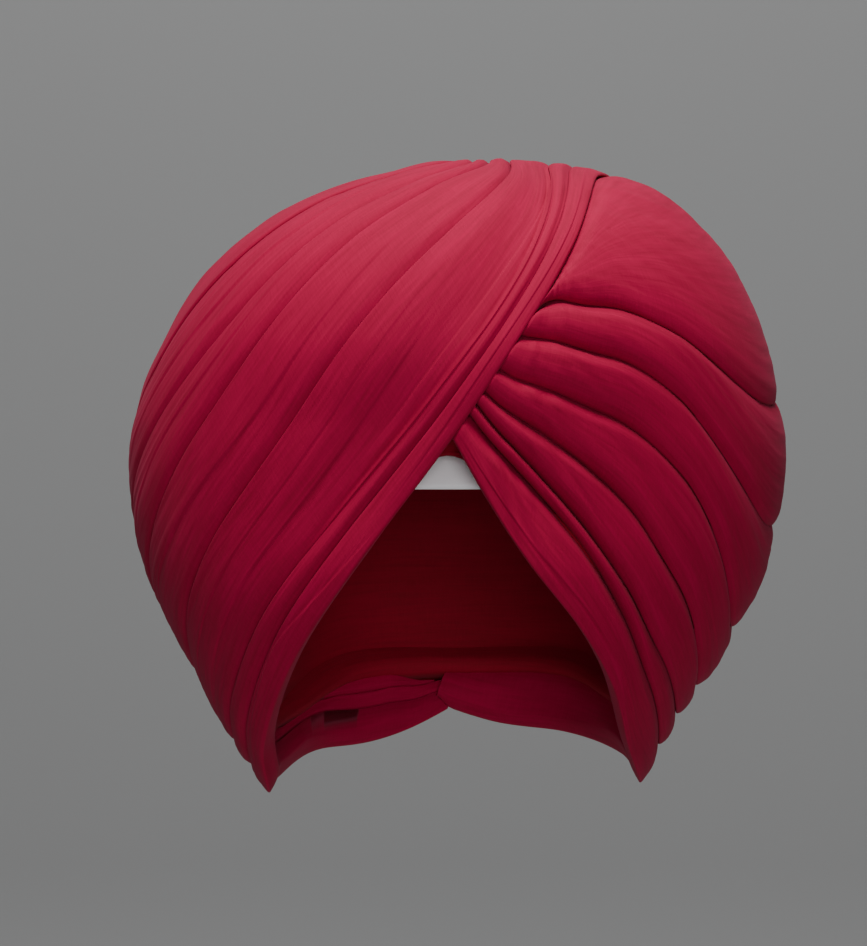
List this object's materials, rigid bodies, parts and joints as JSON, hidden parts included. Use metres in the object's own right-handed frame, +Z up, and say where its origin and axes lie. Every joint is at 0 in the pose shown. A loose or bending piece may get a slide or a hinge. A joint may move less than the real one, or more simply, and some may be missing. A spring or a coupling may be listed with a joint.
{
  "type": "tied turban",
  "caption": "Tied turban of crimson cotton voile: pleated sash over the crown, stacked wraps on the right, white under-band, open below.",
  "frame": {"origin": "where the crown of the head meets the underside of the winding", "axes": "+Z up along the head, -Y towards the face opening, +X to the side of the stacked wraps"},
  "size_m": [0.2618, 0.2552, 0.2537],
  "materials": {
    "crimson_voile": "matt, fine streaky weave",
    "inner_voile": "matt",
    "white_cotton": "matt, plain weave"
  },
  "bodies": {
    "root": {"under_band": "white_cotton", "inner_turn_1": "inner_voile", "inner_turn_2": "inner_voile", "inner_turn_3": "inner_voile", "inner_turn_4": "inner_voile", "wrap_1": "crimson_voile", "wrap_2": "crimson_voile", "wrap_3": "crimson_voile", "wrap_4": "crimson_voile", "wrap_5": "crimson_voile", "wrap_6": "crimson_voile", "wrap_7": "crimson_voile", "sash_pleat_1": "crimson_voile", "sash_pleat_2": "crimson_voile", "sash_fold_1": "crimson_voile", "sash_fold_2": "crimson_voile", "sash_fold_3": "crimson_voile", "sash_fold_4": "crimson_voile", "crown_tuck": "crimson_voile"}
  },
  "joints": []
}
